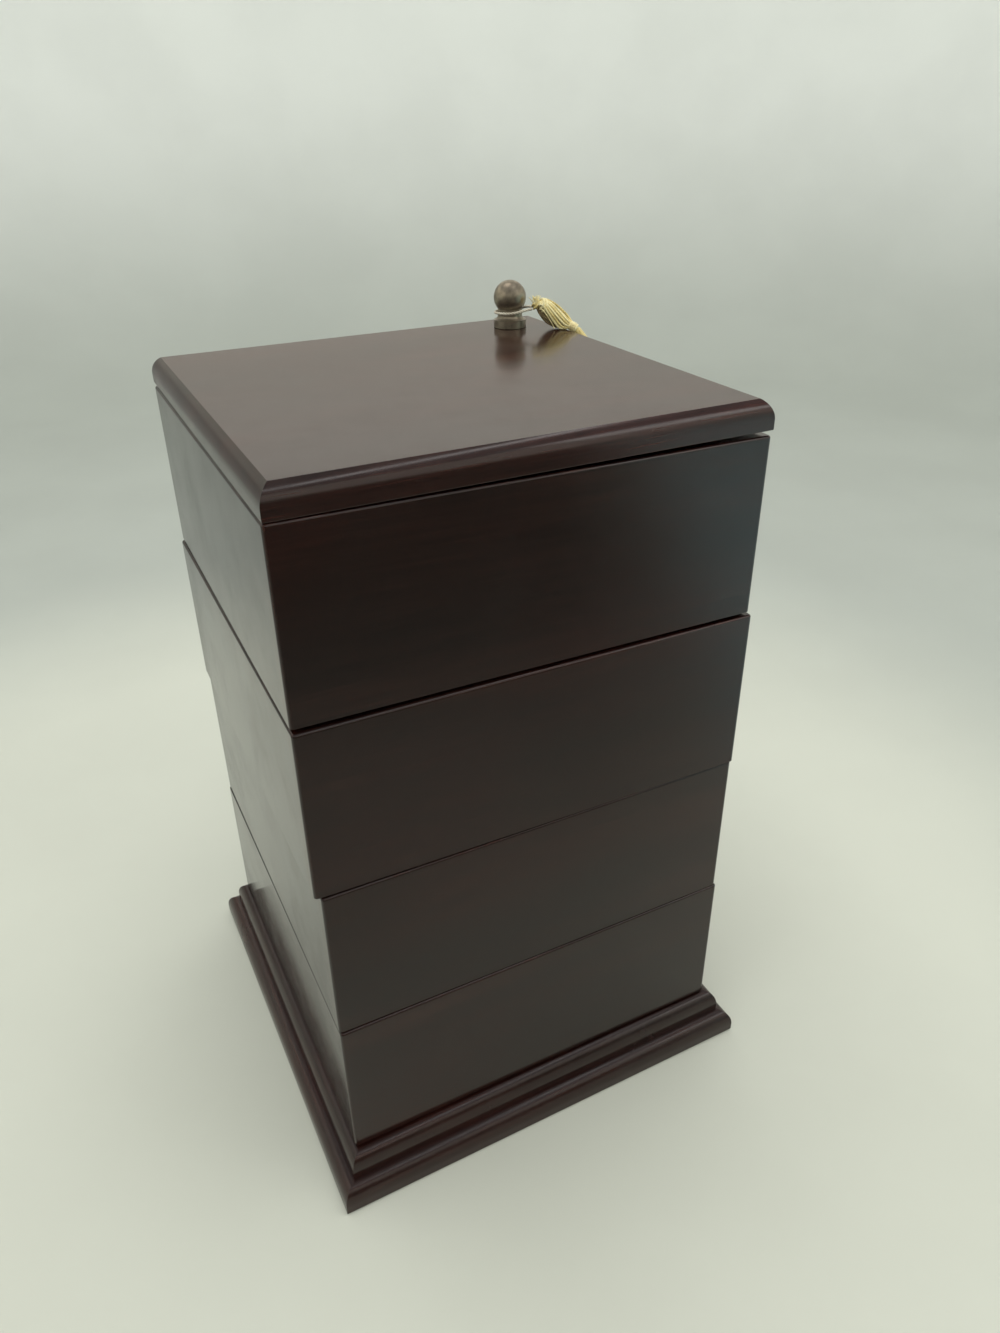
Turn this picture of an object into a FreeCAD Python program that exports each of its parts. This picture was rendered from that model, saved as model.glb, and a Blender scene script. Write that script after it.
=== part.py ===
import FreeCAD, Part

import math
import os

# Swivel jewelry box: four equal square trays and a lid that turn on one upright rod, near the back
# right corner of a moulded base. Millimetres. +X is right along the front, +Y is back, +Z is up.
# The origin is the middle of the base's underside.

# Trays
tray_side = 152.4
tray_height = 58.0
tray_wall = 8.0
rebate_width = 4.0
floor_thickness = 4.0
rim_round = 0.9
inner_rim_round = 0.5
corner_round = 1.3
tray_count = 4

# How far each tray's sides stand out past half of tray_side
tray_proud = {1: 0.0, 2: 0.6, 3: -0.3, 4: 0.0}

# Felt in the trays
lining_thickness = 1.2
lining_below_rim = 2.5

# Swivel rod, and the blocks and washers on it
rod_diameter = 6.0
rod_inset = 19.5
post_wood_round_bore = 8.5
post_round = 5.0
bore_clearance = 0.05
spacer_diameter = 14.0
spacer_play = 0.05

# Gap under each turning piece, from the lid down to the lowest tray. The lid's is under its lowest corner.
gap_under_lid_corner = 0.15
gap_under_tray = {1: 1.2, 2: 0.9, 3: 0.5, 4: 1.0}

# How far each piece stands turned from square with the base at rest, in degrees, clockwise negative
rest_turn = {1: -1.1, 2: -0.9, 3: -0.45, 4: -0.3}
lid_rest_turn = -1.05

# Lid
lid_overhang = 0.0
lid_thickness = 9.05
lid_top_round = 6.8
lid_bottom_round = 0.4

# Thickness planed off the lid's top after its edges were rounded over
lid_top_planed = 0.9

# How far the lid hangs low towards the left and towards the front, away from the rod, in degrees
lid_droop_left = 0.48
lid_droop_front = 0.315

# Base, with its moulding's outline from the bottom up
base_overhang = 9.25
base_height = 19.2
felt_thickness = 0.5
felt_inset = 5.0
moulding_inner_lap = 1.2
moulding_face_top = 3.6
lower_round_width = 4.6
lower_round_height = 6.4
step_width = 0.55
riser_height = 3.0
upper_round_width = 4.1

# Nut and washer in the counterbore under the base board
counterbore_diameter = 15.0
counterbore_depth = 8.5
nut_across_flats = 10.0
nut_height = 5.0
washer_diameter = 13.0
washer_thickness = 1.6
rod_end_below_nut = 0.8

# Finial, with heights above the lid's top
foot_diameter = 12.4
foot_height = 2.9
neck_diameter = 9.4
neck_bottom = 4.8
ball_diameter = 12.4
ball_centre_height = 10.9
finial_bore_depth = 9.0
rod_end_clearance = 0.5
foot_play = 0.05

# Tassel, with heights above the lid's top
thread_diameter = 1.1
neck_clearance = 0.3
thread_height = 5.7
knot_diameter = 3.4
loops_diameter = 3.6
band_diameter = 3.4
band_length = 3.6
skirt_root_diameter = 3.2
skirt_tip_diameter = 4.6
skirt_gap = 0.85

half = tray_side / 2
rod_radius = rod_diameter / 2
bore_radius = rod_radius + bore_clearance
rod_x = half - rod_inset
rod_y = half - rod_inset
rod_axis = FreeCAD.Vector(rod_x, rod_y, 0)
up = FreeCAD.Vector(0, 0, 1)
base_half = half + base_overhang


def lid_drop():
    """How much lower than at the rod the lid hangs at its front left corner."""
    drop_left = (rod_x + half + lid_overhang) * math.sin(math.radians(lid_droop_left))
    drop_front = (rod_y + half + lid_overhang) * math.sin(math.radians(lid_droop_front))
    return drop_left + drop_front


def stack_heights():
    """Height of each tray's underside, and of the lid's underside at the rod, from the base up."""
    bottoms = {}
    z = base_height
    for number in range(tray_count, 0, -1):
        z += gap_under_tray[number]
        bottoms[number] = z
        z += tray_height
    return bottoms, z + round(gap_under_lid_corner + lid_drop(), 1)


tray_bottoms, lid_bottom = stack_heights()
lid_top = lid_bottom + lid_thickness
lid_slope = math.radians(math.hypot(lid_droop_left, lid_droop_front))


def box(x0, x1, y0, y1, z0, z1):
    return Part.makeBox(x1 - x0, y1 - y0, z1 - z0, FreeCAD.Vector(x0, y0, z0))


def square(side_half, z0, z1):
    return box(-side_half, side_half, -side_half, side_half, z0, z1)


def cylinder(radius, z0, z1, x=rod_x, y=rod_y):
    return Part.makeCylinder(radius, z1 - z0, FreeCAD.Vector(x, y, z0), up)


def turned(shape, degrees):
    """The shape turned about the rod by its rest angle."""
    copy = shape.copy()
    copy.rotate(rod_axis, up, degrees)
    return copy


def save(name, shapes):
    """Write one node: a single solid, or a group of separate solids."""
    shape = shapes[0] if len(shapes) == 1 else Part.makeCompound(shapes)
    shape.exportStep("parts/" + name + ".step")
    for solid in shapes:
        if not solid.isValid() or len(solid.Solids) != 1:
            print("check", name, solid.isValid(), len(solid.Solids))


def side_wedges(reach, z0, z1):
    """Four prisms that split a square frame along its mitres, by the name of each side."""
    corners = [(-reach, -reach), (reach, -reach), (reach, reach), (-reach, reach)]
    wedges = {}
    for index, name in enumerate(["front", "right", "back", "left"]):
        ax, ay = corners[index]
        bx, by = corners[(index + 1) % 4]
        points = [(0, 0), (ax, ay), (bx, by), (0, 0)]
        outline = Part.makePolygon([FreeCAD.Vector(x, y, z0) for x, y in points])
        wedges[name] = Part.Face(outline).extrude(FreeCAD.Vector(0, 0, z1 - z0))
    return wedges


def upright_edges(shape, test):
    """The straight upright edges of a shape whose ends pass the test on x and y."""
    found = []
    for edge in shape.Edges:
        a, b = edge.Vertexes[0].Point, edge.Vertexes[-1].Point
        level = abs(a.x - b.x) < 1e-6 and abs(a.y - b.y) < 1e-6
        if level and len(edge.Vertexes) == 2 and test(a.x, a.y):
            found.append(edge)
    return found


def edges_at_height(shape, z, test=lambda box_: True):
    """The edges that lie flat at one height and pass the test on their bounding box."""
    found = []
    for edge in shape.Edges:
        bounds = edge.BoundBox
        if abs(bounds.ZMin - z) < 1e-6 and abs(bounds.ZMax - z) < 1e-6 and test(bounds):
            found.append(edge)
    return found


def tray_frame(side_half, z0, z1):
    """The four walls in one piece: rounded arrises outside, a rebate for the bottom inside."""
    inner = side_half - tray_wall
    block = square(side_half, z0, z1)
    block = block.makeFillet(corner_round, upright_edges(block, lambda x, y: True))
    block = block.makeFillet(rim_round, edges_at_height(block, z1))
    frame = block.cut(square(inner, z0 - 1, z1 + 1))

    def inside(bounds):
        return max(abs(bounds.XMin), abs(bounds.XMax), abs(bounds.YMin), abs(bounds.YMax)) < inner + 1e-6

    frame = frame.makeFillet(inner_rim_round, edges_at_height(frame, z1, inside))
    return frame.cut(square(inner + rebate_width, z0 - 1, z0 + floor_thickness))


def post_block(inner, z0, z1, grown=0.0):
    """The corner block round the rod, from the walls' inner faces to the wood left round its bore."""
    reach = bore_radius + post_wood_round_bore + grown
    x0 = rod_x - reach
    y0 = rod_y - reach
    block = box(x0, inner, y0, inner, z0, z1)
    edges = upright_edges(block, lambda x, y: abs(x - x0) < 1e-6 and abs(y - y0) < 1e-6)
    return block.makeFillet(post_round + grown, edges)


def make_tray(number):
    """Walls, bottom, bored corner post and felt lining of one tray, as named solids."""
    z0 = tray_bottoms[number]
    z1 = z0 + tray_height
    floor_top = z0 + floor_thickness
    side_half = half + tray_proud[number]
    inner = side_half - tray_wall
    bore = cylinder(bore_radius, z0 - 1, z1 + 1)
    frame = tray_frame(side_half, z0, z1)
    pieces = {}
    for name, wedge in side_wedges(tray_side, z0 - 1, z1 + 1).items():
        pieces[name] = frame.common(wedge)
    pieces["bottom"] = square(inner + rebate_width, z0, floor_top).cut(bore)
    pieces["post"] = post_block(inner, floor_top, z1).cut(bore)

    lining_top = z1 - lining_below_rim
    outside = square(inner, floor_top, lining_top).cut(post_block(inner, floor_top, lining_top))
    hollow_bottom = floor_top + lining_thickness
    hollow = square(inner - lining_thickness, hollow_bottom, lining_top + 1)
    hollow = hollow.cut(post_block(inner, hollow_bottom, lining_top + 1, lining_thickness))
    pieces["lining"] = outside.cut(hollow)
    for name, solid in pieces.items():
        save("tray_%d_%s" % (number, name), [turned(solid, rest_turn[number])])


def make_lid():
    """A square board with a large round along its top edges, planed flat, that hangs low at the front
    left. Its bore is upright."""
    lid_half = half + lid_overhang
    unplaned_top = lid_top + lid_top_planed
    board = square(lid_half, lid_bottom, unplaned_top)
    board = board.makeFillet(lid_top_round, edges_at_height(board, unplaned_top))
    board = board.makeFillet(lid_bottom_round, edges_at_height(board, lid_bottom))
    board = board.common(square(lid_half + 1, lid_bottom - 1, lid_top))
    pivot = FreeCAD.Vector(rod_x, rod_y, lid_top)
    board.rotate(pivot, FreeCAD.Vector(0, 1, 0), -lid_droop_left)
    board.rotate(pivot, FreeCAD.Vector(1, 0, 0), lid_droop_front)
    board = board.cut(cylinder(bore_radius, lid_bottom - 2, lid_top + 2))
    save("lid_panel", [turned(board, lid_rest_turn)])


def quarter_curve(x0, z0, width, height):
    """A quarter oval from an upright start at (x0, z0) to a level end, inwards and up."""
    centre = FreeCAD.Vector(x0 - width, 0, z0)
    start = FreeCAD.Vector(x0, 0, z0)
    end = FreeCAD.Vector(x0 - width, 0, z0 + height)
    if abs(width - height) < 1e-6:
        sink = math.sin(math.radians(45))
        middle = centre + FreeCAD.Vector(width * sink, 0, height * sink)
        return Part.Arc(start, middle, end).toShape(), end
    if height > width:
        oval = Part.Ellipse(end, start, centre)
        return Part.ArcOfEllipse(oval, 0, math.pi / 2).toShape(), end
    oval = Part.Ellipse(start, end, centre)
    return Part.ArcOfEllipse(oval, 0, math.pi / 2).toShape(), end


def moulding_outline():
    """Cross-section of the moulding in the X-Z plane, outside to the right."""
    inner = half - moulding_inner_lap
    bottom_in = FreeCAD.Vector(inner, 0, felt_thickness)
    bottom_out = FreeCAD.Vector(base_half, 0, felt_thickness)
    face_top = FreeCAD.Vector(base_half, 0, moulding_face_top)
    lower_round, ledge_out = quarter_curve(base_half, moulding_face_top, lower_round_width,
                                           lower_round_height)
    ledge_in = FreeCAD.Vector(ledge_out.x - step_width, 0, ledge_out.z)
    riser_top = FreeCAD.Vector(ledge_in.x, 0, ledge_in.z + riser_height)
    upper_round, top_out = quarter_curve(riser_top.x, riser_top.z, upper_round_width,
                                         base_height - riser_top.z)
    top_in = FreeCAD.Vector(inner, 0, base_height)
    edges = [
        Part.makeLine(bottom_in, bottom_out),
        Part.makeLine(bottom_out, face_top),
        lower_round,
        Part.makeLine(ledge_out, ledge_in),
        Part.makeLine(ledge_in, riser_top),
        upper_round,
        Part.makeLine(top_out, top_in),
        Part.makeLine(top_in, bottom_in),
    ]
    return Part.Face(Part.Wire(edges))


def make_base():
    """Board, four mitred lengths of moulding and the felt sheet they stand on."""
    board = square(half - moulding_inner_lap, felt_thickness, base_height)
    counterbore = cylinder(counterbore_diameter / 2, felt_thickness - 1, felt_thickness + counterbore_depth)
    board = board.cut(cylinder(bore_radius, felt_thickness - 1, base_height + 1)).cut(counterbore)
    save("base_board", [board])

    length = FreeCAD.Vector(0, 4 * base_half, 0)
    right = moulding_outline().extrude(length)
    right.translate(FreeCAD.Vector(0, -2 * base_half, 0))
    wedge = side_wedges(2 * base_half, -1, base_height + 1)["right"]
    right = right.common(wedge)
    for name, degrees in {"right": 0, "back": 90, "left": 180, "front": 270}.items():
        piece = right.copy()
        piece.rotate(FreeCAD.Vector(0, 0, 0), up, degrees)
        save("base_moulding_" + name, [piece])

    save("base_felt", [square(base_half - felt_inset, 0, felt_thickness)])


def make_rod_stack():
    """Rod, its nut and washer under the base board, and the spacer under each turning piece. The top
    one stops short of the lid's lowest point over it."""
    washer_top = felt_thickness + counterbore_depth
    nut_top = washer_top - washer_thickness
    nut_bottom = nut_top - nut_height
    rod_bottom = nut_bottom - rod_end_below_nut
    rod_top = lid_top + finial_bore_depth - rod_end_clearance
    save("swivel_rod", [cylinder(rod_radius, rod_bottom, rod_top)])
    bore = cylinder(bore_radius, 0, lid_top)
    save("rod_washer", [cylinder(washer_diameter / 2, nut_top, washer_top).cut(bore)])

    corner_radius = nut_across_flats / math.sqrt(3)
    corners = []
    for index in range(7):
        angle = math.radians(60 * index)
        x = rod_x + corner_radius * math.cos(angle)
        y = rod_y + corner_radius * math.sin(angle)
        corners.append(FreeCAD.Vector(x, y, nut_bottom))
    nut = Part.Face(Part.makePolygon(corners)).extrude(FreeCAD.Vector(0, 0, nut_height))
    save("rod_nut", [nut.cut(bore)])

    seats = {"base": base_height}
    tops = {"base": tray_bottoms[tray_count]}
    for number in range(1, tray_count + 1):
        seats["tray_%d" % number] = tray_bottoms[number] + tray_height
        tops["tray_%d" % number] = tray_bottoms.get(number - 1, lid_bottom)
    tops["tray_1"] -= lid_slope * spacer_diameter / 2
    for name in seats:
        spacer = cylinder(spacer_diameter / 2, seats[name] + spacer_play, tops[name] - spacer_play)
        save("spacer_" + name, [spacer.cut(bore)])


def make_finial():
    """Turned brass finial: foot, waisted neck and ball, with a blind bore for the rod's end."""
    z0 = lid_top + foot_play + lid_slope * foot_diameter / 2
    foot_top = lid_top + foot_height
    neck_z = lid_top + neck_bottom
    centre_z = lid_top + ball_centre_height
    foot_radius = foot_diameter / 2
    neck_radius = neck_diameter / 2
    ball_radius = ball_diameter / 2
    ball_meets_neck = centre_z - math.sqrt(ball_radius ** 2 - neck_radius ** 2)
    axis_bottom = FreeCAD.Vector(0, 0, z0)
    foot_out = FreeCAD.Vector(foot_radius, 0, z0)
    foot_rim = FreeCAD.Vector(foot_radius, 0, foot_top)
    neck_low = FreeCAD.Vector(neck_radius, 0, neck_z)
    neck_high = FreeCAD.Vector(neck_radius, 0, ball_meets_neck)
    ball_side = FreeCAD.Vector(ball_radius, 0, centre_z)
    ball_top = FreeCAD.Vector(0, 0, centre_z + ball_radius)
    flare_depth = 0.35
    flare_middle = (foot_rim + neck_low) * 0.5 - FreeCAD.Vector(flare_depth, 0, flare_depth)
    edges = [
        Part.makeLine(axis_bottom, foot_out),
        Part.makeLine(foot_out, foot_rim),
        Part.Arc(foot_rim, flare_middle, neck_low).toShape(),
        Part.makeLine(neck_low, neck_high),
        Part.Arc(neck_high, ball_side, ball_top).toShape(),
        Part.makeLine(ball_top, axis_bottom),
    ]
    body = Part.Face(Part.Wire(edges)).revolve(FreeCAD.Vector(0, 0, 0), up, 360)
    body.translate(rod_axis)
    bore = cylinder(bore_radius, z0 - 1, lid_top + finial_bore_depth)
    save("finial", [body.cut(bore)])


# The tassel's points: along is the way it lies from the rod, across is to its left, height is above
# the lid's top. The first list is the thread's route round the neck, the second the gold loops' line.
tassel_direction = -43.6
ring_reach = neck_diameter / 2 + neck_clearance + thread_diameter / 2
ring_half_side = ring_reach * math.tan(math.radians(22.5))
thread_route = [
    (8.95, 0.75, 8.1),
    (6.1, 3.3, 7.0),
    (ring_half_side, ring_reach, thread_height),
    (-ring_half_side, ring_reach, thread_height),
    (-ring_reach, ring_half_side, thread_height),
    (-ring_reach, -ring_half_side, thread_height),
    (-ring_half_side, -ring_reach, thread_height),
    (ring_half_side, -ring_reach, thread_height),
    (6.1, -3.3, 7.0),
    (8.95, -0.75, 8.1),
]
knot_place = (10.5, 0.0, 8.6)
loops_route = [(12.3, 0.0, 8.6), (14.9, 0.0, 9.2), (19.3, 0.0, 4.9), (23.35, 0.0, 1.85)]
band_start = (23.6, 0.0, 1.75)
band_aim = (26.7, 0.0, -0.01)
skirt_end = (32.4, 0.0, -7.8)


def tassel_point(place):
    """A tassel point in the object's own frame."""
    along, across, height = place
    angle = math.radians(tassel_direction)
    x = rod_x + along * math.cos(angle) - across * math.sin(angle)
    y = rod_y + along * math.sin(angle) + across * math.cos(angle)
    return FreeCAD.Vector(x, y, lid_top + height)


def route_wire(points, name):
    """Straight runs joined by tangent arcs, each as large as its two runs allow."""
    edges = []
    start = points[0]
    radii = []
    for index in range(1, len(points) - 1):
        before, corner, after = points[index - 1:index + 2]
        way_in = (corner - before).normalize()
        way_out = (after - corner).normalize()
        half_turn = way_in.getAngle(way_out) / 2
        reach = 0.45 * min(before.distanceToPoint(corner), corner.distanceToPoint(after))
        radius = reach / math.tan(half_turn)
        radii.append(round(radius, 2))
        arc_start = corner - way_in * reach
        arc_end = corner + way_out * reach
        inwards = (way_out - way_in).normalize()
        arc_middle = corner + inwards * (radius / math.cos(half_turn) - radius)
        edges.append(Part.LineSegment(start, arc_start).toShape())
        edges.append(Part.Arc(arc_start, arc_middle, arc_end).toShape())
        start = arc_end
    edges.append(Part.LineSegment(start, points[-1]).toShape())
    wire = Part.Wire(edges)
    print(name, "length", round(wire.Length, 2), "bend radii", radii)
    return wire


def tube(points, diameter, name):
    """A round tube along a route."""
    wire = route_wire(points, name)
    first = points[1] - points[0]
    section = Part.Wire(Part.makeCircle(diameter / 2, points[0], first))
    solid = wire.makePipeShell([section], True, False)
    expected = math.pi * diameter ** 2 / 4 * wire.Length
    print(name, "volume", round(solid.Volume, 3), "section by length", round(expected, 3))
    return solid


def make_tassel():
    """Thread round the finial's neck, knot, bundle of gold loops, bound head and skirt."""
    save("tassel_thread", [tube([tassel_point(p) for p in thread_route], thread_diameter, "tassel_thread")])
    save("tassel_loops", [tube([tassel_point(p) for p in loops_route], loops_diameter, "tassel_loops")])
    knot_centre = tassel_point(knot_place)
    save("tassel_knot", [Part.makeSphere(knot_diameter / 2, knot_centre)])
    band_a = tassel_point(band_start)
    band_way = (tassel_point(band_aim) - band_a).normalize()
    save("tassel_band", [Part.makeCylinder(band_diameter / 2, band_length, band_a, band_way)])
    skirt_a = band_a + band_way * (band_length + skirt_gap)
    skirt_way = tassel_point(skirt_end) - skirt_a
    skirt_length = skirt_way.Length
    root_radius = skirt_root_diameter / 2
    skirt = Part.makeCone(root_radius, skirt_tip_diameter / 2, skirt_length, skirt_a, skirt_way)
    save("tassel_skirt", [skirt])


os.makedirs("parts", exist_ok=True)
make_base()
make_rod_stack()
for tray_number in range(1, tray_count + 1):
    make_tray(tray_number)
make_lid()
make_finial()
make_tassel()
print("lid top", round(lid_top, 2), "rod at", round(rod_x, 2), round(rod_y, 2))
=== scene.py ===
import math
import random

import bpy
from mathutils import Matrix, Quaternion, Vector


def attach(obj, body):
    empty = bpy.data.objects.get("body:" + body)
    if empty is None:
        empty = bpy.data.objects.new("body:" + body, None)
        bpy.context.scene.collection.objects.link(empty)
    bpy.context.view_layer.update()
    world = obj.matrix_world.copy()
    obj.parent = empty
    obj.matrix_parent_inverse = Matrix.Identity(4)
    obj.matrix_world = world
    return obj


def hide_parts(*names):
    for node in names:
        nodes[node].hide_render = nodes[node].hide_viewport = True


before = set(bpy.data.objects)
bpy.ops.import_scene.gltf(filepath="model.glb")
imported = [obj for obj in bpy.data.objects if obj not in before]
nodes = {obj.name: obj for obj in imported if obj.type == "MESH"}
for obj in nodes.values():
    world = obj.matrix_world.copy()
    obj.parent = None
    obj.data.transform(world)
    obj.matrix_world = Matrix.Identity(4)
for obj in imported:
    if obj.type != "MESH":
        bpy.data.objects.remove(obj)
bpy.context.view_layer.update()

# Places that the looks share with the solids, in metres
mm = 0.001
rod = Vector((56.7, 56.7, 0.0)) * mm
lid_top = 265.85 * mm


# Camera, at the photograph's angle

camera_place = Vector((-126.29, -289.34, 338.65)) * mm
camera_turn_degrees = (60.088, 0.618, -27.416)
camera_long_side = 36.0
camera_lens = 26.09


def make_camera():
    data = bpy.data.cameras.new("camera")
    data.sensor_fit = "AUTO"
    data.sensor_width = camera_long_side
    data.lens = camera_lens
    data.clip_start = 0.01
    data.clip_end = 20.0
    camera = bpy.data.objects.new("camera", data)
    camera.location = camera_place
    camera.rotation_euler = [math.radians(a) for a in camera_turn_degrees]
    bpy.context.scene.collection.objects.link(camera)
    bpy.context.scene.camera = camera


# Mesh helpers

def add_mesh(name, points, faces, materials, paints=None):
    """A smooth mesh object in the scene. paints gives each face's place in the materials."""
    mesh = bpy.data.meshes.new(name)
    mesh.from_pydata([tuple(p) for p in points], [], faces)
    mesh.update()
    for material in materials:
        mesh.materials.append(material)
    for polygon in mesh.polygons:
        polygon.use_smooth = True
        polygon.material_index = paints[polygon.index] if paints else 0
    made = bpy.data.objects.new(name, mesh)
    bpy.context.scene.collection.objects.link(made)
    return made


def smooth_line(points, steps):
    """Points along a NURBS curve that has these control points."""
    curve = bpy.data.curves.new("route", "CURVE")
    curve.dimensions = "3D"
    spline = curve.splines.new("NURBS")
    spline.points.add(len(points) - 1)
    for place, point in zip(spline.points, points):
        place.co = (*point, 1.0)
    spline.order_u = 3
    spline.use_endpoint_u = True
    spline.resolution_u = steps
    holder = bpy.data.objects.new("route", curve)
    mesh = bpy.data.meshes.new_from_object(holder)
    line = [v.co.copy() for v in mesh.vertices]
    bpy.data.objects.remove(holder)
    bpy.data.meshes.remove(mesh)
    bpy.data.curves.remove(curve)
    return line


def even_line(points, spacing):
    """The same line with points at about even distances."""
    lengths = [0.0]
    for a, b in zip(points, points[1:]):
        lengths.append(lengths[-1] + (b - a).length)
    count = max(2, int(lengths[-1] / spacing) + 1)
    line = []
    index = 0
    for step in range(count):
        target = lengths[-1] * step / (count - 1)
        while index < len(points) - 2 and lengths[index + 1] < target:
            index += 1
        span = max(lengths[index + 1] - lengths[index], 1e-9)
        line.append(points[index].lerp(points[index + 1], (target - lengths[index]) / span))
    return line


def frames_along(points):
    """Side directions at each point of a line, carried along without twisting."""
    ways = []
    for index in range(len(points)):
        before = points[max(index - 1, 0)]
        after = points[min(index + 1, len(points) - 1)]
        ways.append((after - before).normalized())
    side = ways[0].orthogonal().normalized()
    frames = []
    for way in ways:
        side = (side - way * side.dot(way)).normalized()
        frames.append((way, side, way.cross(side)))
    return frames


class Skin:
    """Collects tubes into one mesh. paint is the place of the next tube's material."""

    def __init__(self):
        self.points = []
        self.faces = []
        self.paints = []
        self.paint = 0

    def tube(self, line, radius, sides, ply_turns=0.0, ply_depth=0.0, plies=3):
        """A closed tube. radius is a number or a function of the share of the length, and the
        plies are ridges that wind round it."""
        frames = frames_along(line)
        first = len(self.points)
        last = len(line) - 1
        for index, (point, (way, side, up)) in enumerate(zip(line, frames)):
            share = index / last
            size = radius(share) if callable(radius) else radius
            for step in range(sides):
                angle = 2 * math.pi * step / sides
                ridge = abs(math.cos((angle * plies - 2 * math.pi * ply_turns * share * plies) / 2))
                reach = size * (1 - ply_depth * (1 - ridge))
                self.points.append(point + reach * (side * math.cos(angle) + up * math.sin(angle)))
        for index in range(last):
            for step in range(sides):
                a = first + index * sides + step
                b = first + index * sides + (step + 1) % sides
                self.faces.append((a, b, b + sides, a + sides))
        self.faces.append(tuple(first + step for step in reversed(range(sides))))
        self.faces.append(tuple(first + last * sides + step for step in range(sides)))
        self.paints += [self.paint] * (len(self.faces) - len(self.paints))

    def object(self, name, *materials):
        return add_mesh(name, self.points, self.faces, materials, self.paints)


# Material helpers

class Graph:
    """A node tree with short ways to add and join nodes."""

    def __init__(self, tree):
        self.tree = tree
        tree.nodes.clear()

    def add(self, kind, inputs=None, **settings):
        node = self.tree.nodes.new(kind)
        for name, value in settings.items():
            setattr(node, name, value)
        for name, value in (inputs or {}).items():
            if isinstance(value, bpy.types.NodeSocket):
                self.tree.links.new(value, node.inputs[name])
            else:
                node.inputs[name].default_value = value
        return node

    def math(self, operation, a, b=0.0):
        return self.add("ShaderNodeMath", {0: a, 1: b}, operation=operation).outputs[0]

    def vector(self, operation, a, b):
        return self.add("ShaderNodeVectorMath", {0: a, 1: b}, operation=operation).outputs[0]

    def noise(self, place, scale=1.0, detail=3.0, roughness=0.5, distortion=0.0):
        inputs = {"Vector": place, "Scale": scale, "Detail": detail, "Roughness": roughness,
                  "Distortion": distortion}
        return self.add("ShaderNodeTexNoise", inputs).outputs["Fac"]

    def ramp(self, factor, stops):
        node = self.add("ShaderNodeValToRGB", {"Fac": factor})
        elements = node.color_ramp.elements
        while len(elements) < len(stops):
            elements.new(0.5)
        for element, (place, colour) in zip(elements, stops):
            element.position = place
            element.color = (*colour, 1.0) if len(colour) == 3 else colour
        return node.outputs["Color"]

    def steps(self, value, low, high, to_low=0.0, to_high=1.0):
        """The value's share between low and high, as a number from to_low to to_high."""
        inputs = {"Value": value, "From Min": low, "From Max": high, "To Min": to_low, "To Max": to_high}
        return self.add("ShaderNodeMapRange", inputs, interpolation_type="SMOOTHSTEP").outputs["Result"]

    def blend(self, factor, a, b, kind="MIX"):
        node = self.add("ShaderNodeMix", {0: factor}, data_type="RGBA", blend_type=kind)
        for index, value in ((6, a), (7, b)):
            if isinstance(value, bpy.types.NodeSocket):
                self.tree.links.new(value, node.inputs[index])
            else:
                node.inputs[index].default_value = (*value, 1.0)
        return node.outputs[2]

    def bump(self, height, strength, distance, over=None):
        """A bumped normal, on top of another one if that is given."""
        inputs = {"Height": height, "Strength": strength, "Distance": distance}
        if over is not None:
            inputs["Normal"] = over
        return self.add("ShaderNodeBump", inputs).outputs["Normal"]

    def finish(self, shader):
        self.add("ShaderNodeOutputMaterial", {"Surface": shader})


def new_material(name):
    material = bpy.data.materials.new(name)
    material.use_nodes = True
    return material, Graph(material.node_tree)


def grain_scale(axis, along, across):
    """A stretch that draws a pattern out along the grain."""
    return tuple(along if name == axis else across for name in "XYZ")


# Lacquered mahogany

wood_dark = (0.0055, 0.0021, 0.0017)
wood_mid = (0.0128, 0.0045, 0.0034)
wood_light = (0.028, 0.0096, 0.0065)
wood_worn = (0.100, 0.036, 0.022)


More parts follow.
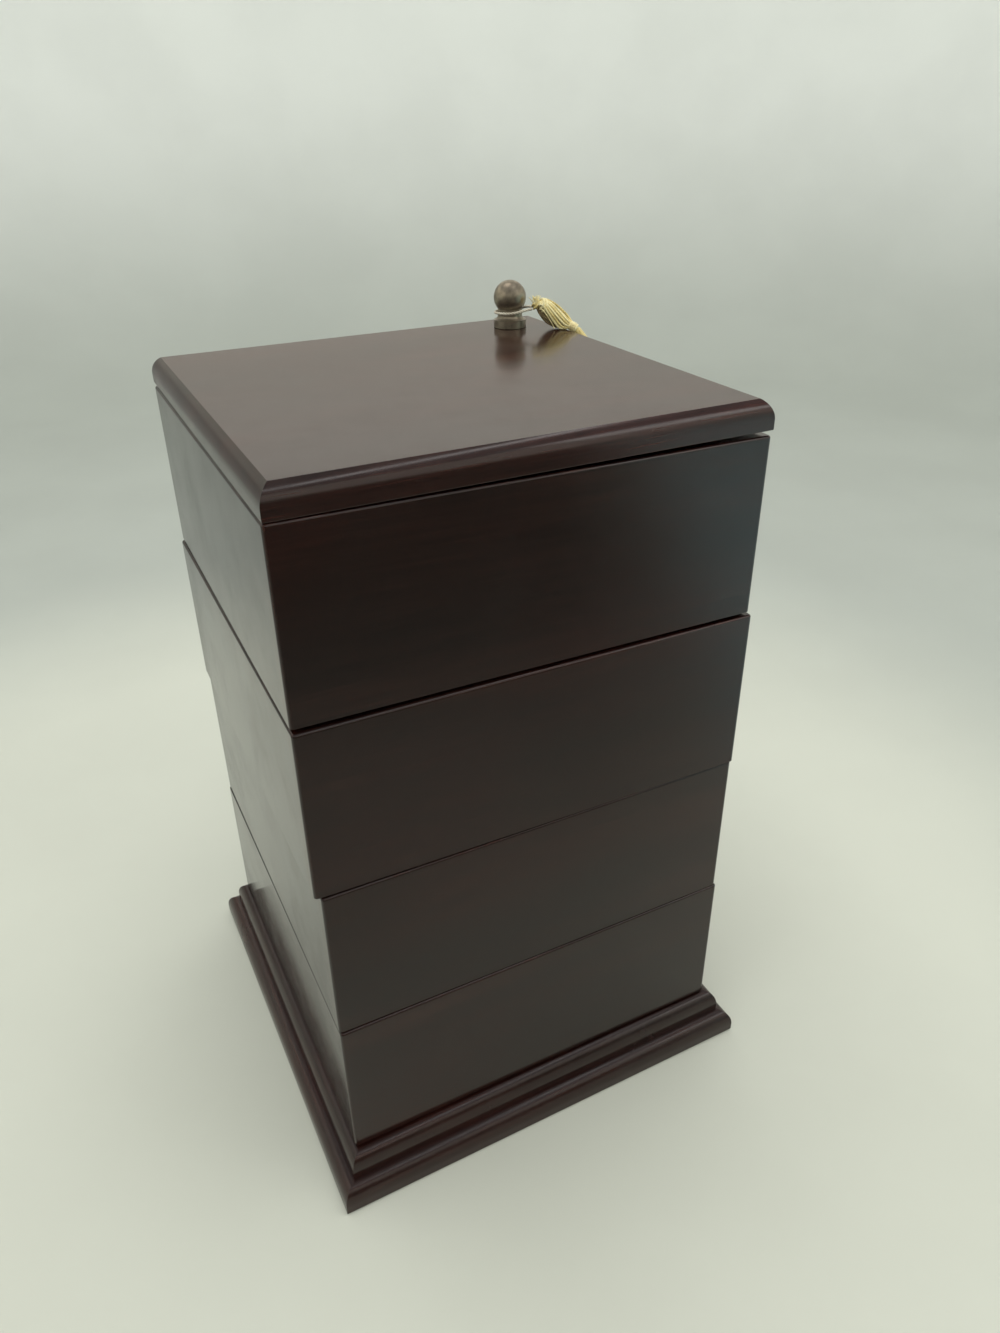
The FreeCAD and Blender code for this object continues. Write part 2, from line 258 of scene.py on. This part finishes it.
def make_wood(name, axis, seed, light=1.0, gloss=0.13, wear=0.45):
    """Dark lacquered wood with straight grain along one axis, fine pores and rubbed arrises."""
    material, g = new_material(name)
    rng = random.Random(seed)
    offset = tuple(rng.uniform(-3, 3) for _ in range(3))
    coordinates = g.add("ShaderNodeTexCoord")
    place = g.vector("ADD", coordinates.outputs["Object"], offset)
    broad = g.noise(g.vector("MULTIPLY", place, grain_scale(axis, 4, 55)), detail=3, distortion=0.6)
    fine = g.noise(g.vector("MULTIPLY", place, grain_scale(axis, 26, 900)), detail=4, roughness=0.6)
    pore = g.noise(g.vector("MULTIPLY", place, grain_scale(axis, 150, 2600)), detail=2)
    blotch = g.noise(g.vector("MULTIPLY", place, (11, 11, 11)), detail=2)
    figure = g.math("ADD", g.math("MULTIPLY", broad, 0.5), g.math("MULTIPLY", fine, 0.5))
    base = g.ramp(figure, [
        (0.30, [c * light for c in wood_dark]),
        (0.50, [c * light for c in wood_mid]),
        (0.72, [c * light for c in wood_light]),
    ])
    red = g.blend(g.steps(blotch, 0.35, 0.75, 0.0, 0.5), base, (1.5, 0.75, 0.7), "MULTIPLY")
    pores = g.steps(pore, 0.62, 0.72)
    pored = g.blend(g.math("MULTIPLY", pores, 0.7), red, [c * 0.4 for c in wood_dark])

    normal = g.add("ShaderNodeVectorMath", {0: coordinates.outputs["Normal"]}, operation="ABSOLUTE")
    parts = g.add("ShaderNodeSeparateXYZ", {0: normal.outputs[0]})
    biggest = g.math("MAXIMUM", g.math("MAXIMUM", parts.outputs[0], parts.outputs[1]), parts.outputs[2])
    arris = g.steps(biggest, 0.97, 0.80)
    rubbing = g.noise(g.vector("MULTIPLY", place, (60, 60, 60)), detail=4)
    rubbed = g.math("MULTIPLY", arris, g.steps(rubbing, 0.45, 0.75, 0.0, 0.75 * wear))
    colour = g.blend(rubbed, pored, wood_worn)

    haze = g.noise(g.vector("MULTIPLY", place, (35, 35, 35)), detail=5, roughness=0.65)
    rough = g.math("ADD", g.steps(haze, 0.35, 0.8, gloss, gloss + 0.09), g.math("MULTIPLY", rubbed, 0.2))
    relief = g.math("SUBTRACT", g.math("MULTIPLY", fine, 0.4), g.math("MULTIPLY", pores, 0.6))
    ripple = g.noise(g.vector("MULTIPLY", place, grain_scale(axis, 25, 60)), detail=2)
    grained = g.bump(relief, 0.12, 0.00005)
    shader = g.add("ShaderNodeBsdfPrincipled", {
        "Base Color": colour,
        "Roughness": rough,
        "IOR": 1.5,
        "Normal": g.bump(ripple, 1.0, 0.00003, grained),
    })
    g.finish(shader.outputs[0])
    return material


def make_brass(name):
    """Aged turned brass: dull brown patina, brighter where hands rub it."""
    material, g = new_material(name)
    place = g.add("ShaderNodeTexCoord").outputs["Object"]
    stain = g.noise(g.vector("MULTIPLY", place, (260, 260, 260)), detail=5, roughness=0.6)
    spots = g.noise(g.vector("MULTIPLY", place, (1500, 1500, 1500)), detail=2)
    turning = g.noise(g.vector("MULTIPLY", place, (40, 40, 3000)), detail=2)
    colour = g.ramp(stain, [
        (0.32, (0.20, 0.175, 0.132)),
        (0.52, (0.29, 0.250, 0.188)),
        (0.72, (0.37, 0.318, 0.232)),
    ])
    spotted = g.blend(g.steps(spots, 0.60, 0.75, 0.0, 0.4), colour, (0.08, 0.068, 0.05))
    rough = g.steps(stain, 0.3, 0.75, 0.40, 0.29)
    relief = g.math("ADD", g.math("MULTIPLY", turning, 0.5), spots)
    shader = g.add("ShaderNodeBsdfPrincipled", {
        "Base Color": spotted,
        "Metallic": 0.85,
        "Roughness": rough,
        "Normal": g.bump(relief, 0.25, 0.00005),
    })
    g.finish(shader.outputs[0])
    return material


def make_steel(name):
    """Plain turned steel with fine scratches."""
    material, g = new_material(name)
    place = g.add("ShaderNodeTexCoord").outputs["Object"]
    lines = g.noise(g.vector("MULTIPLY", place, (60, 60, 4000)), detail=3)
    stain = g.noise(g.vector("MULTIPLY", place, (180, 180, 180)), detail=4)
    colour = g.ramp(stain, [(0.3, (0.34, 0.34, 0.34)), (0.7, (0.56, 0.56, 0.55))])
    shader = g.add("ShaderNodeBsdfPrincipled", {
        "Base Color": colour,
        "Metallic": 1.0,
        "Roughness": g.steps(lines, 0.3, 0.7, 0.25, 0.42),
        "Normal": g.bump(lines, 0.2, 0.00004),
    })
    g.finish(shader.outputs[0])
    return material


def make_felt(name, dark, light):
    """Matted wool felt: mottled colour and short raised fibres."""
    material, g = new_material(name)
    place = g.add("ShaderNodeTexCoord").outputs["Object"]
    fibres = g.noise(g.vector("MULTIPLY", place, (2200, 2200, 2200)), detail=4, roughness=0.7)
    mottle = g.noise(g.vector("MULTIPLY", place, (70, 70, 70)), detail=4)
    tone = g.math("ADD", g.math("MULTIPLY", fibres, 0.65), g.math("MULTIPLY", mottle, 0.35))
    shader = g.add("ShaderNodeBsdfPrincipled", {
        "Base Color": g.ramp(tone, [(0.32, dark), (0.68, light)]),
        "Roughness": 0.95,
        "Sheen Weight": 0.5,
        "Sheen Roughness": 0.5,
        "Normal": g.bump(fibres, 0.6, 0.0004),
    })
    g.finish(shader.outputs[0])
    return material


def make_yarn(name, shadow, body, bright, metallic):
    """Metallic yarn: fine filaments that glint unevenly."""
    material, g = new_material(name)
    place = g.add("ShaderNodeTexCoord").outputs["Object"]
    glints = g.noise(g.vector("MULTIPLY", place, (2600, 2600, 2600)), detail=3, roughness=0.7)
    tint = g.noise(g.vector("MULTIPLY", place, (320, 320, 320)), detail=3)
    tone = g.math("ADD", g.math("MULTIPLY", glints, 0.55), g.math("MULTIPLY", tint, 0.45))
    shader = g.add("ShaderNodeBsdfPrincipled", {
        "Base Color": g.ramp(tone, [(0.30, shadow), (0.52, body), (0.72, bright)]),
        "Metallic": metallic,
        "Roughness": g.steps(glints, 0.3, 0.7, 0.32, 0.55),
        "Sheen Weight": 0.2,
        "Normal": g.bump(glints, 0.5, 0.00012),
    })
    g.finish(shader.outputs[0])
    return material


# Tassel

tassel_turn = math.radians(-43.6)
tassel_along = Vector((math.cos(tassel_turn), math.sin(tassel_turn), 0.0))
tassel_across = Vector((-math.sin(tassel_turn), math.cos(tassel_turn), 0.0))


def tassel_point(along, across, height):
    """A point given in millimetres from the rod, along and across the tassel and above the lid."""
    flat = rod + tassel_along * along * mm + tassel_across * across * mm
    return Vector((flat.x, flat.y, lid_top + height * mm))


ring_height = 5.7
ring_reach = 5.55
ring_half_side = ring_reach * math.tan(math.radians(22.5))
thread_route = [
    (8.95, 0.75, 7.7),
    (5.4, 3.5, 7.3),
    (ring_half_side, ring_reach, ring_height),
    (-ring_half_side, ring_reach, ring_height),
    (-ring_reach, ring_half_side, ring_height - 0.25),
    (-ring_reach, -ring_half_side, ring_height - 0.25),
    (-ring_half_side, -ring_reach, ring_height),
    (ring_half_side, -ring_reach, ring_height),
    (5.9, -3.2, 6.4),
    (8.95, -0.75, 7.0),
]
thread_ply_radius = 0.29 * mm
thread_ply_offset = 0.24 * mm
thread_turn_length = 2.2 * mm
thread_curve_steps = 24
thread_point_spacing = 0.16 * mm
thread_sides = 9


def make_thread(material):
    """Two plies twisted together along the loop round the finial's neck."""
    curve = smooth_line([tassel_point(*p) for p in thread_route], thread_curve_steps)
    line = even_line(curve, thread_point_spacing)
    frames = frames_along(line)
    length = sum((b - a).length for a, b in zip(line, line[1:]))
    skin = Skin()
    for ply in range(2):
        strand = []
        for index, (point, (way, side, up)) in enumerate(zip(line, frames)):
            angle = 2 * math.pi * (length * index / (len(line) - 1) / thread_turn_length + ply / 2)
            strand.append(point + thread_ply_offset * (side * math.cos(angle) + up * math.sin(angle)))
        skin.tube(strand, thread_ply_radius, thread_sides)
    thread = skin.object("thread", material)
    return thread, line, length


loop_cord_radius = 0.52 * mm
stray_radius = 0.2 * mm
cord_curve_steps = 16
cord_point_spacing = 0.2 * mm
cord_sides = 16
cord_twist_length = 3.0 * mm
lowest_strand = 0.6

# Lines of the bundle's underside and of its top from the knot over the crown to the bound head, as
# along and height in millimetres, and half the bundle's width there
bundle_low = [(10.8, 7.0), (11.6, 5.4), (13.0, 3.6), (15.2, 1.9),
              (17.9, 1.0), (20.6, 0.7), (23.0, 0.85), (24.6, 1.0)]
bundle_high = [(10.8, 8.5), (12.2, 9.9), (14.6, 10.2), (17.9, 8.1),
               (20.6, 6.1), (22.7, 4.3), (24.4, 2.6), (25.2, 1.4)]
bundle_half_width = [0.5, 1.1, 1.6, 1.9, 1.8, 1.5, 1.1, 0.6]
bundle_rows = 7
# The lowest rows take a darker copy of the gold yarn, painted shade under the bundle.
painted_shade_rows = 3
crown_wraps = [
    [(11.3, 1.5, 8.8), (12.2, 1.2, 10.3), (13.2, -0.3, 10.9), (14.1, -1.8, 9.8), (13.9, -2.3, 8.3),
     (12.4, -1.5, 7.2)],
    [(12.2, 1.6, 8.9), (13.3, 1.2, 10.4), (14.4, -0.4, 10.7), (15.3, -2.0, 9.0), (14.9, -2.4, 7.4),
     (13.2, -1.6, 6.4)],
]
front_strands = [
    [(11.6, -1.0, 8.6), (12.9, -1.8, 9.2), (14.4, -2.3, 8.1), (16.3, -2.6, 5.5), (18.2, -2.5, 3.0),
     (20.0, -2.2, 0.65), (22.3, -1.5, 0.6), (24.4, -0.6, 0.9)],
    [(11.8, -1.0, 9.0), (13.4, -1.7, 9.5), (15.3, -2.3, 8.0), (17.3, -2.6, 5.6), (19.3, -2.4, 3.2),
     (21.2, -2.0, 1.0), (23.0, -1.3, 0.8), (24.5, -0.6, 1.0)],
    [(12.0, -0.8, 9.4), (14.0, -1.5, 9.8), (16.2, -2.1, 8.1), (18.4, -2.3, 5.8), (20.4, -2.2, 3.6),
     (22.2, -1.8, 1.9), (23.6, -1.1, 1.4), (24.7, -0.5, 1.3)],
    [(12.4, -0.5, 9.9), (14.6, -1.2, 10.0), (17.2, -1.7, 8.2), (19.4, -1.9, 6.0), (21.4, -1.8, 3.9),
     (23.0, -1.4, 2.3), (24.1, -0.9, 1.7), (24.9, -0.4, 1.4)],
    [(12.8, 0.0, 10.3), (15.4, -0.7, 10.0), (18.2, -1.1, 8.1), (20.4, -1.3, 6.1), (22.2, -1.3, 4.1),
     (23.7, -1.0, 2.7), (24.6, -0.6, 2.0), (25.1, -0.2, 1.5)],
]

# Places in the list of wraps and front strands that are gold, where the others are straw. The paler straw on
# these top and front strands is partly painted highlight.
gold_strands = (3, 5)
stray_strand = [(12.8, -2.2, 7.6), (14.0, -2.7, 6.8), (15.0, -2.9, 5.8), (16.2, -2.9, 4.2),
                (17.3, -2.8, 2.6), (18.4, -2.6, 0.6)]


def cord_strand(skin, points, radius, ply_depth=0.4):
    """A twisted cord along a smooth line through the tassel."""
    curve = smooth_line([tassel_point(*p) for p in points], cord_curve_steps)
    line = even_line(curve, cord_point_spacing)
    length = sum((b - a).length for a, b in zip(line, line[1:]))
    skin.tube(line, radius, cord_sides, length / cord_twist_length, ply_depth)


def make_loops(gold, painted_shade_gold, straw):
    """A bundle of gold cord loops that arches from the knot to the bound head and rests on the lid."""
    gold_paint, painted_shade_paint, straw_paint = 0, 1, 2
    skin = Skin()
    rng = random.Random(5)
    for row in range(bundle_rows):
        share = row / (bundle_rows - 1)
        # Painted shade: the lowest rows get the darker gold yarn.
        skin.paint = painted_shade_paint if row < painted_shade_rows else gold_paint
        columns = (-0.75, 0.1, 0.9) if row % 2 else (-0.35, 0.55)
        for column in columns:
            narrow = math.sqrt(1 - 0.6 * (2 * share - 1) ** 2)
            drift = rng.uniform(-0.35, 0.35)
            points = []
            for low, high, half_width in zip(bundle_low, bundle_high, bundle_half_width):
                along = low[0] + (high[0] - low[0]) * share + rng.uniform(-0.2, 0.2)
                height = low[1] + (high[1] - low[1]) * share + (rng.uniform(-0.1, 0.2) + drift) * half_width
                across = column * half_width * narrow + rng.uniform(-0.3, 0.3) * half_width
                points.append((along, across, max(height, lowest_strand)))
            cord_strand(skin, points, loop_cord_radius * rng.uniform(0.85, 1.05))
    # Partly painted highlight: most crown wraps and front strands take the paler straw yarn.
    for index, points in enumerate(crown_wraps + front_strands):
        skin.paint = gold_paint if index in gold_strands else straw_paint
        cord_strand(skin, points, loop_cord_radius)
    skin.paint = straw_paint
    cord_strand(skin, stray_strand, stray_radius, 0.1)
    return skin.object("tassel_gold_loops", gold, painted_shade_gold, straw)


knot_place = (10.4, 0.0, 7.9)
knot_cord_radius = 0.42 * mm
knot_steps = 120
knot_twists = 14
tuft_fibres = 30
fibre_steps = 8


def make_knot(gold, straw):
    """A small tight knot of the gold cord, with its pale frayed ends standing up from it."""
    skin = Skin()
    centre = tassel_point(*knot_place)
    line = []
    for step in range(knot_steps + 1):
        t = 2 * math.pi * step / knot_steps
        ring = (1.0 + 0.45 * math.cos(3 * t)) * mm
        line.append(centre + Vector((ring * math.cos(2 * t), ring * math.sin(2 * t),
                                     0.85 * mm * math.sin(3 * t))))
    skin.tube(line, knot_cord_radius, 12, knot_twists, 0.35)
    skin.paint = 1
    rng = random.Random(11)
    for _ in range(tuft_fibres):
        heading = rng.uniform(0, 2 * math.pi)
        lean = rng.uniform(0.05, 0.55)
        length = rng.uniform(2.0, 3.4)
        start = centre + Vector((rng.uniform(-0.8, 0.8), rng.uniform(-0.8, 0.8), 0.7)) * mm
        out = Vector((math.cos(heading) * lean, math.sin(heading) * lean, 1.0)).normalized()
        bend = Vector((math.cos(heading), math.sin(heading), -0.2)) * lean
        fibre = [start + (out * length * s + bend * length * 0.4 * s * s) * mm
                 for s in [i / fibre_steps for i in range(fibre_steps + 1)]]
        skin.tube(fibre, lambda share: (0.22 - 0.12 * share) * mm, 6)
    return skin.object("tassel_gold_knot", gold, straw)


band_start = (23.6, 0.0, 1.75)
band_aim = (26.7, 0.0, -0.01)
band_length = 3.6 * mm
band_turns = 4
band_steps_per_turn = 28
band_end = 0.25 * mm


def band_axis():
    start = tassel_point(*band_start)
    return start, (tassel_point(*band_aim) - start).normalized()


def make_band(material):
    """Fine thread wound tightly round the head of the tassel."""
    start, way = band_axis()
    side = way.orthogonal().normalized()
    up = way.cross(side)
    skin = Skin()
    steps = band_turns * band_steps_per_turn
    wound = []
    for step in range(steps + 1):
        share = step / steps
        angle = 2 * math.pi * band_turns * share
        swell = (1.35 + 0.2 * math.sin(math.pi * share)) * mm
        point = start + way * (band_end + (band_length - 2 * band_end) * share)
        wound.append(point + swell * (side * math.cos(angle) + up * math.sin(angle)))
    skin.tube(wound, 0.45 * mm, 14, band_turns * 3, 0.3)
    core = [start + way * (band_length * share / 12) for share in range(13)]
    skin.tube(core, lambda share: (1.0 + 0.4 * math.sin(math.pi * min(max(share, 0.02), 0.98))) * mm, 24)
    return skin.object("tassel_gold_band", material)


skirt_end = (32.4, 0.0, -7.8)
skirt_strands = 64
skirt_strand_radius = 0.26 * mm
skirt_steps = 12
golden_angle = 2.39996


def make_skirt(material):
    """Fringe of fine gold strands that spring out past the lid's edge."""
    start, way = band_axis()
    root = start + way * band_length
    end = tassel_point(*skirt_end)
    skirt_way = (end - root).normalized()
    length = (end - root).length
    side = skirt_way.orthogonal().normalized()
    up = skirt_way.cross(side)
    skin = Skin()
    rng = random.Random(23)
    for index in range(skirt_strands):
        ring = math.sqrt((index + 0.5) / skirt_strands)
        angle = index * golden_angle + rng.uniform(-0.2, 0.2)
        out = side * math.cos(angle) + up * math.sin(angle)
        wave = rng.uniform(0, 2 * math.pi)
        reach = rng.uniform(0.86, 1.0)
        strand = []
        for step in range(skirt_steps + 1):
            share = step / skirt_steps
            width = (1.25 * ring + 0.85 * ring * share ** 0.8) * mm
            wiggle = out.cross(skirt_way) * math.sin(wave + 5 * share) * 0.18 * share * mm
            strand.append(root - way * 0.4 * mm + skirt_way * (length * reach * share) + out * width + wiggle)
        skin.tube(strand, skirt_strand_radius, 7, 3, 0.3, 2)
    return skin.object("tassel_gold_skirt", material)


def make_tassel():
    gold = make_yarn("gold_yarn_look", (0.34, 0.25, 0.075), (0.80, 0.65, 0.26), (0.97, 0.88, 0.50), 0.15)
    # A darker copy of the gold yarn, painted shade for the underside of the loops.
    painted_shade_gold = make_yarn("gold_painted_shade_look", (0.12, 0.080, 0.035), (0.28, 0.20, 0.095), (0.46, 0.36, 0.18), 0.3)
    wrap = make_yarn("gold_wrap_look", (0.42, 0.31, 0.11), (0.90, 0.78, 0.42), (0.98, 0.94, 0.66), 0.1)
    straw = make_yarn("gold_straw_look", (0.52, 0.43, 0.18), (0.90, 0.80, 0.42), (0.98, 0.93, 0.64), 0.1)
    pale = make_yarn("gold_thread_look", (0.46, 0.39, 0.29), (0.74, 0.68, 0.55), (0.95, 0.92, 0.82), 0.1)
    thread, line, length = make_thread(pale)
    pieces = {
        "tassel_knot": make_knot(gold, straw),
        "tassel_loops": make_loops(gold, painted_shade_gold, straw),
        "tassel_band": make_band(wrap),
        "tassel_skirt": make_skirt(gold),
    }
    for node, piece in pieces.items():
        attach(piece, "lid")
        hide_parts(node)
    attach(thread, "lid")
    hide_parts("tassel_thread")


# Materials of the solids

def set_material(node, material):
    for slot in nodes[node].material_slots:
        slot.material = material


def dress_solids():
    sides = {"front": "X", "back": "X", "left": "Y", "right": "Y", "bottom": "X", "post": "Z"}
    seed = 1
    for number in range(1, 5):
        for side, axis in sides.items():
            seed += 1
            node = "tray_%d_%s" % (number, side)
            set_material(node, make_wood(node + "_look", axis, seed))
        set_material("tray_%d_lining" % number, lining_felt)
    for side in ("front", "back", "left", "right"):
        seed += 1
        node = "base_moulding_" + side
        set_material(node, make_wood(node + "_look", sides[side], seed, light=1.6, gloss=0.20, wear=0.1))
    set_material("base_board", make_wood("base_board_look", "X", 71))
    set_material("lid_panel", make_wood("lid_panel_look", "X", 72, light=1.8, wear=0.1))
    set_material("base_felt", base_felt)
    set_material("finial", make_brass("brass_look"))
    steel = make_steel("steel_look")
    for node in nodes:
        if node.startswith("spacer") or node in ("swivel_rod", "rod_nut", "rod_washer"):
            set_material(node, steel)


# Floor, backdrop and lights

# Painted light and shade on the backdrop: the floor is lighter near the middle and darker further out,
# and the wall lighter high up.
near_floor = (0.66, 0.677, 0.590)
far_floor = (0.465, 0.493, 0.448)
high_wall = (0.97, 0.99, 0.95)
# Seen by glossy rays only, as a painted reflection of a room: painted light and painted shade.
mirrored_wall = (0.77, 0.70, 0.64)
mirrored_top = (1.0, 0.95, 0.89)
painted_front_shade = (0.10, 0.095, 0.080)
painted_light_right = (0.72, 0.98, 1.0)
painted_shade_left = (0.40, 0.40, 0.38)
painted_shade_left_top = (0.66, 0.66, 0.61)


def make_stage():
    """A pale round floor that curves up into a wall all round, so that it looks alike from any side.
    Its floor is painted lighter near the middle and darker further out, and its wall lighter high up, as
    painted light and shade. Glossy rays see a painted reflection of the room in the photograph: painted shade
    in front and behind to the left, cooler painted light to the right and warmer painted light high up."""
    material, g = new_material("backdrop_look")
    place = g.add("ShaderNodeTexCoord").outputs["Object"]
    parts = g.add("ShaderNodeSeparateXYZ", {0: place}).outputs
    middle = {0: place, 1: (-0.04, 0.02, 0.0)}
    flat = g.add("ShaderNodeVectorMath", middle, operation="DISTANCE").outputs["Value"]
    mottle = g.noise(g.vector("MULTIPLY", place, (6, 6, 6)), detail=4)
    # Painted light and shade: lighter floor near the middle, darker further out, and a wall lighter high up.
    ground = g.blend(g.steps(flat, 0.27, 0.54), near_floor, far_floor)
    wall = g.blend(g.steps(parts[2], -0.05, 0.5), ground, high_wall)
    tone = g.steps(mottle, 0.3, 0.7, 0.975, 1.025)
    shade = g.add("ShaderNodeCombineColor", {0: tone, 1: tone, 2: tone}).outputs[0]
    pale = g.blend(1.0, wall, shade, "MULTIPLY")
    mirrored = g.add("ShaderNodeLightPath").outputs["Is Glossy Ray"]

    # Painted shade in the reflection: in front, glossy rays see the floor darken with its distance. The
    # shares are of painted_front_shade, by that distance.
    reach = {"Value": parts[1], "From Min": -0.08, "From Max": -0.58}
    distance = g.add("ShaderNodeMapRange", reach).outputs["Result"]
    shares = [(0.0, 0.05), (0.17, 0.20), (0.24, 0.36), (0.40, 0.43), (0.52, 0.50), (0.66, 0.70),
              (0.88, 0.82), (1.0, 0.93)]
    ahead = g.ramp(distance, [(place, (share,) * 3) for place, share in shares])
    behind = g.steps(parts[1], -0.08, -0.02, 1.0, 0.0)
    slant = g.math("ADD", parts[0], g.math("MULTIPLY", parts[1], 0.5))
    left = g.steps(slant, 0.15, -0.03)
    low = g.steps(parts[2], 0.75, 0.45)
    seen = g.math("MULTIPLY", g.math("MULTIPLY", mirrored, behind), low)
    dim = g.math("MULTIPLY", g.math("MULTIPLY", ahead, left), seen)
    # Painted light in the reflection: ahead to the right glossy rays see a bright cool floor, and high up a
    # warmer wall.
    ahead_right = g.math("MULTIPLY", g.steps(slant, 0.06, 0.19), g.steps(parts[1], -0.1, -0.25))
    right = g.math("MULTIPLY", ahead_right, seen)
    above = g.math("MULTIPLY", mirrored, g.steps(parts[2], 0.45, 0.53))
    warm_wall = g.blend(g.steps(parts[2], 0.5, 0.74), mirrored_wall, mirrored_top)
    mirror = g.blend(right, g.blend(above, pale, warm_wall), painted_light_right)

    # Painted shade in the reflection: behind to the left, glossy rays see the wall darker. High up elsewhere
    # it glows a little for them, a painted glow.
    back_left = g.math("MULTIPLY", g.steps(parts[0], 0.12, -0.10), g.steps(parts[1], 1.05, 1.25))
    painted_shade_back_left = g.math("MULTIPLY", g.math("MULTIPLY", back_left, g.steps(parts[2], 1.0, 0.8)), mirrored)
    mirror = g.blend(painted_shade_back_left, mirror, g.blend(g.steps(parts[2], 0.38, 0.54), painted_shade_left, painted_shade_left_top))
    painted_glow = g.math("MULTIPLY", g.math("SUBTRACT", mirrored, painted_shade_back_left), g.steps(parts[2], 0.66, 0.82, 0.0, 0.2))
    shader = g.add("ShaderNodeBsdfPrincipled", {
        "Base Color": g.blend(dim, mirror, painted_front_shade),
        "Roughness": 0.8,
        "Specular IOR Level": 0.2,
        "Emission Color": (*mirrored_top, 1.0),
        "Emission Strength": painted_glow,
    })
    g.finish(shader.outputs[0])

    flat_radius, bend_radius, height = 1.1, 0.45, 1.5
    flat_rings, bend_rings = 12, 16
    profile = [(flat_radius * ring / flat_rings, 0.0) for ring in range(flat_rings + 1)]
    for step in range(1, bend_rings + 1):
        angle = math.radians(90 * step / bend_rings)
        profile.append((flat_radius + bend_radius * math.sin(angle), bend_radius * (1 - math.cos(angle))))
    profile.append((flat_radius + bend_radius, height))
    around = 96
    points = [Vector((0, 0, 0))]
    for radius, z in profile[1:]:
        for step in range(around):
            angle = 2 * math.pi * step / around
            points.append(Vector((radius * math.cos(angle), radius * math.sin(angle), z)))
    faces = []
    for step in range(around):
        faces.append((0, 1 + step, 1 + (step + 1) % around))
    for ring in range(len(profile) - 2):
        for step in range(around):
            a = 1 + ring * around + step
            b = 1 + ring * around + (step + 1) % around
            faces.append((a, a + around, b + around, b))
    add_mesh("backdrop", points, faces, [material])


def area_light(name, place, aim, sides, power, colour, turn_degrees=0.0):
    """A disk, or a rectangle whose long side is turned about the way that the lamp points."""
    data = bpy.data.lights.new(name, "AREA")
    data.shape = "ELLIPSE" if sides[0] == sides[1] else "RECTANGLE"
    data.size, data.size_y = sides
    data.energy = power
    data.color = colour
    light = bpy.data.objects.new(name, data)
    light.location = place
    facing = (Vector(aim) - Vector(place)).to_track_quat("-Z", "Y")
    turn = Quaternion((0.0, 0.0, 1.0), math.radians(turn_degrees))
    light.rotation_euler = (facing @ turn).to_euler()
    bpy.context.scene.collection.objects.link(light)
    return light


def make_lights():
    """A broad soft lamp overhead that isn't mirrored, a thin one that draws the line of light along the
    rounded edges, a dim one ahead to the right, one that only glossy surfaces show, and an even room
    that is dimmer in their mirror image."""
    overhead = area_light("overhead", (-0.10, 0.05, 1.40), (-0.10, 0.05, 0.0), (0.90, 0.90), 6.8,
                          (1.0, 1.0, 0.98))
    overhead.visible_glossy = False
    area_light("strip", (0.42, -0.455, 1.45), (0.42, -0.455, 0.0), (1.2, 0.12), 1.3, (1.0, 0.98, 0.97), 61.0)
    area_light("side", (0.93, -0.97, 1.27), (0.0, 0.0, 0.26), (0.45, 0.35), 1.0, (1.0, 0.98, 0.96))
    brass_lamp = area_light("brass_lamp", (-0.09, 0.38, 1.45), (-0.09, 0.38, 0.0), (0.7, 0.7), 2.2,
                            (1.0, 0.92, 0.86))
    brass_lamp.visible_diffuse = False
    world = bpy.data.worlds.new("room")
    bpy.context.scene.world = world
    world.use_nodes = True
    g = Graph(world.node_tree)
    mirrored = g.add("ShaderNodeLightPath").outputs["Is Glossy Ray"]
    background = g.add("ShaderNodeBackground", {
        "Color": (1.0, 1.0, 0.99, 1.0),
        "Strength": g.steps(mirrored, 0.0, 1.0, 0.76, 0.42),
    })
    g.add("ShaderNodeOutputWorld", {"Surface": background.outputs[0]})


bpy.context.scene.view_settings.view_transform = "Standard"
lining_felt = make_felt("lining_felt_look", (0.012, 0.0025, 0.003), (0.075, 0.012, 0.016))
base_felt = make_felt("base_felt_look", (0.002, 0.006, 0.003), (0.012, 0.035, 0.018))

make_camera()
make_tassel()
dress_solids()
make_stage()
make_lights()

bpy.context.view_layer.update()
